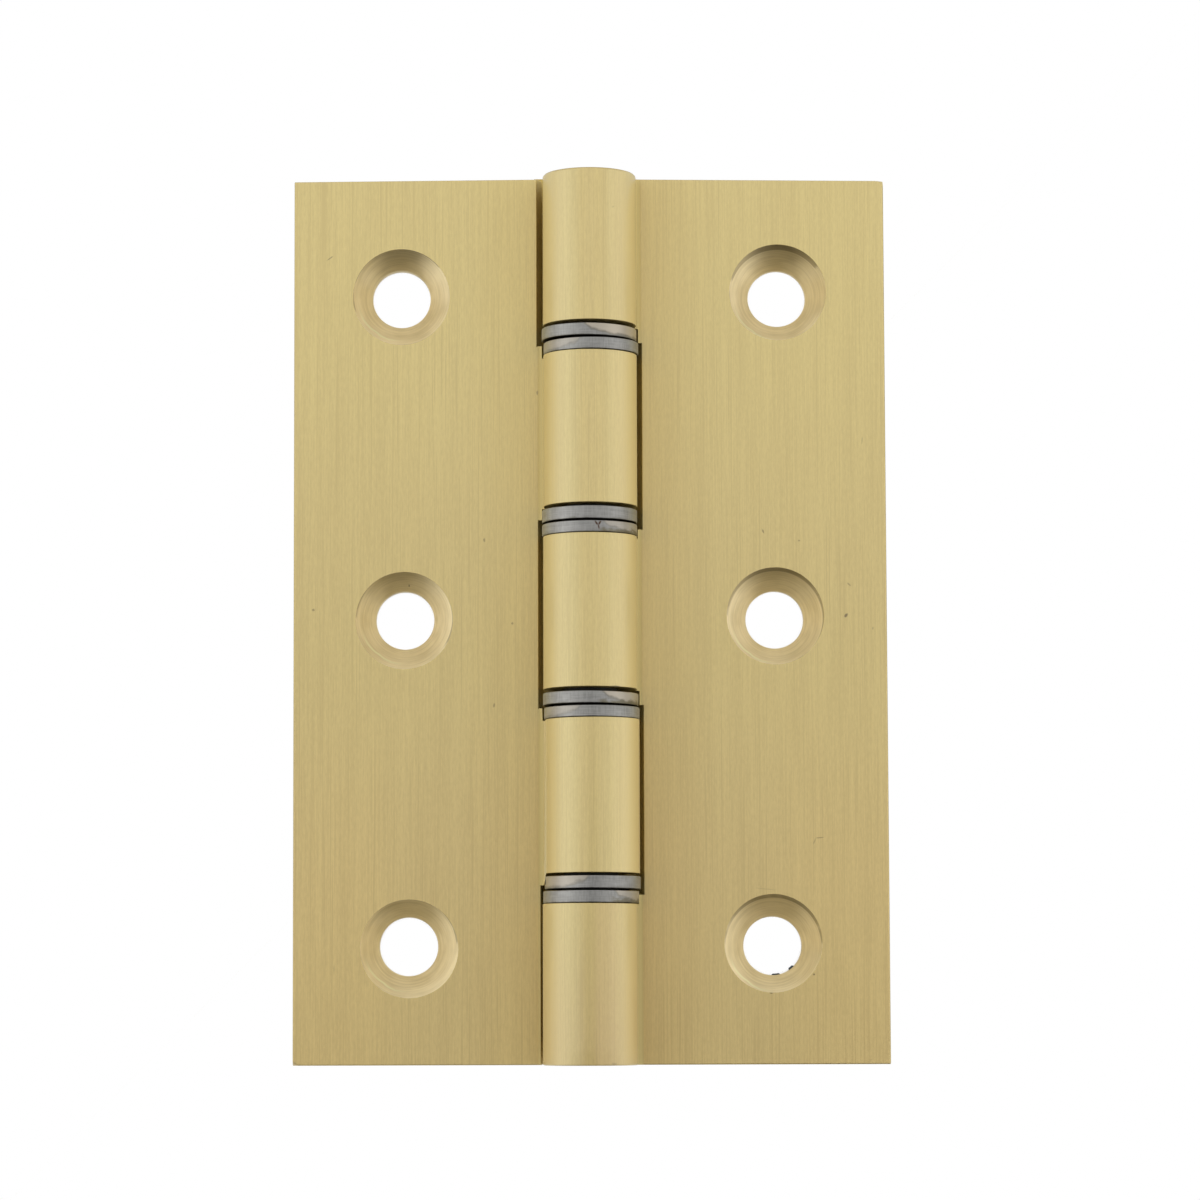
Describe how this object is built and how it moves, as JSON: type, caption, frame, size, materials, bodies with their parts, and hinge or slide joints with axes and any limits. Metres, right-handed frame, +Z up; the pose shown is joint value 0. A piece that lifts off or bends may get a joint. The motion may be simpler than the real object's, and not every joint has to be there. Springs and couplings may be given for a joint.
{
  "type": "washered butt hinge",
  "caption": "Drawn brass butt hinge, open flat, with paired steel washers in the slots of its barrel and countersunk screw holes in both leaves.",
  "frame": {"origin": "on the surface that the backs lie on, under the middle of the open hinge", "axes": "+X across the leaves towards the frame leaf, +Y along the pin towards the top, +Z up out of the leaves' faces"},
  "size_m": [0.0508, 0.076, 0.0081],
  "materials": {
    "brass": "satin, brushed along the pin",
    "pin_steel": "bright drawn",
    "washer_steel": "plain, slightly soiled"
  },
  "bodies": {
    "frame_side": {"frame_leaf": "brass", "hinge_pin": "pin_steel", "washer_1_upper": "washer_steel", "washer_2_lower": "washer_steel", "washer_3_upper": "washer_steel", "washer_4_lower": "washer_steel"},
    "door_side": {"door_leaf": "brass", "washer_1_lower": "washer_steel", "washer_2_upper": "washer_steel", "washer_3_lower": "washer_steel", "washer_4_upper": "washer_steel"}
  },
  "joints": [
    {"name": "leaf_swing", "type": "hinge", "parent": "frame_side", "child": "door_side", "pos_m": [0, 0, 0.004], "axis": [0, 1, 0], "range_deg": [-90, 180]}
  ]
}
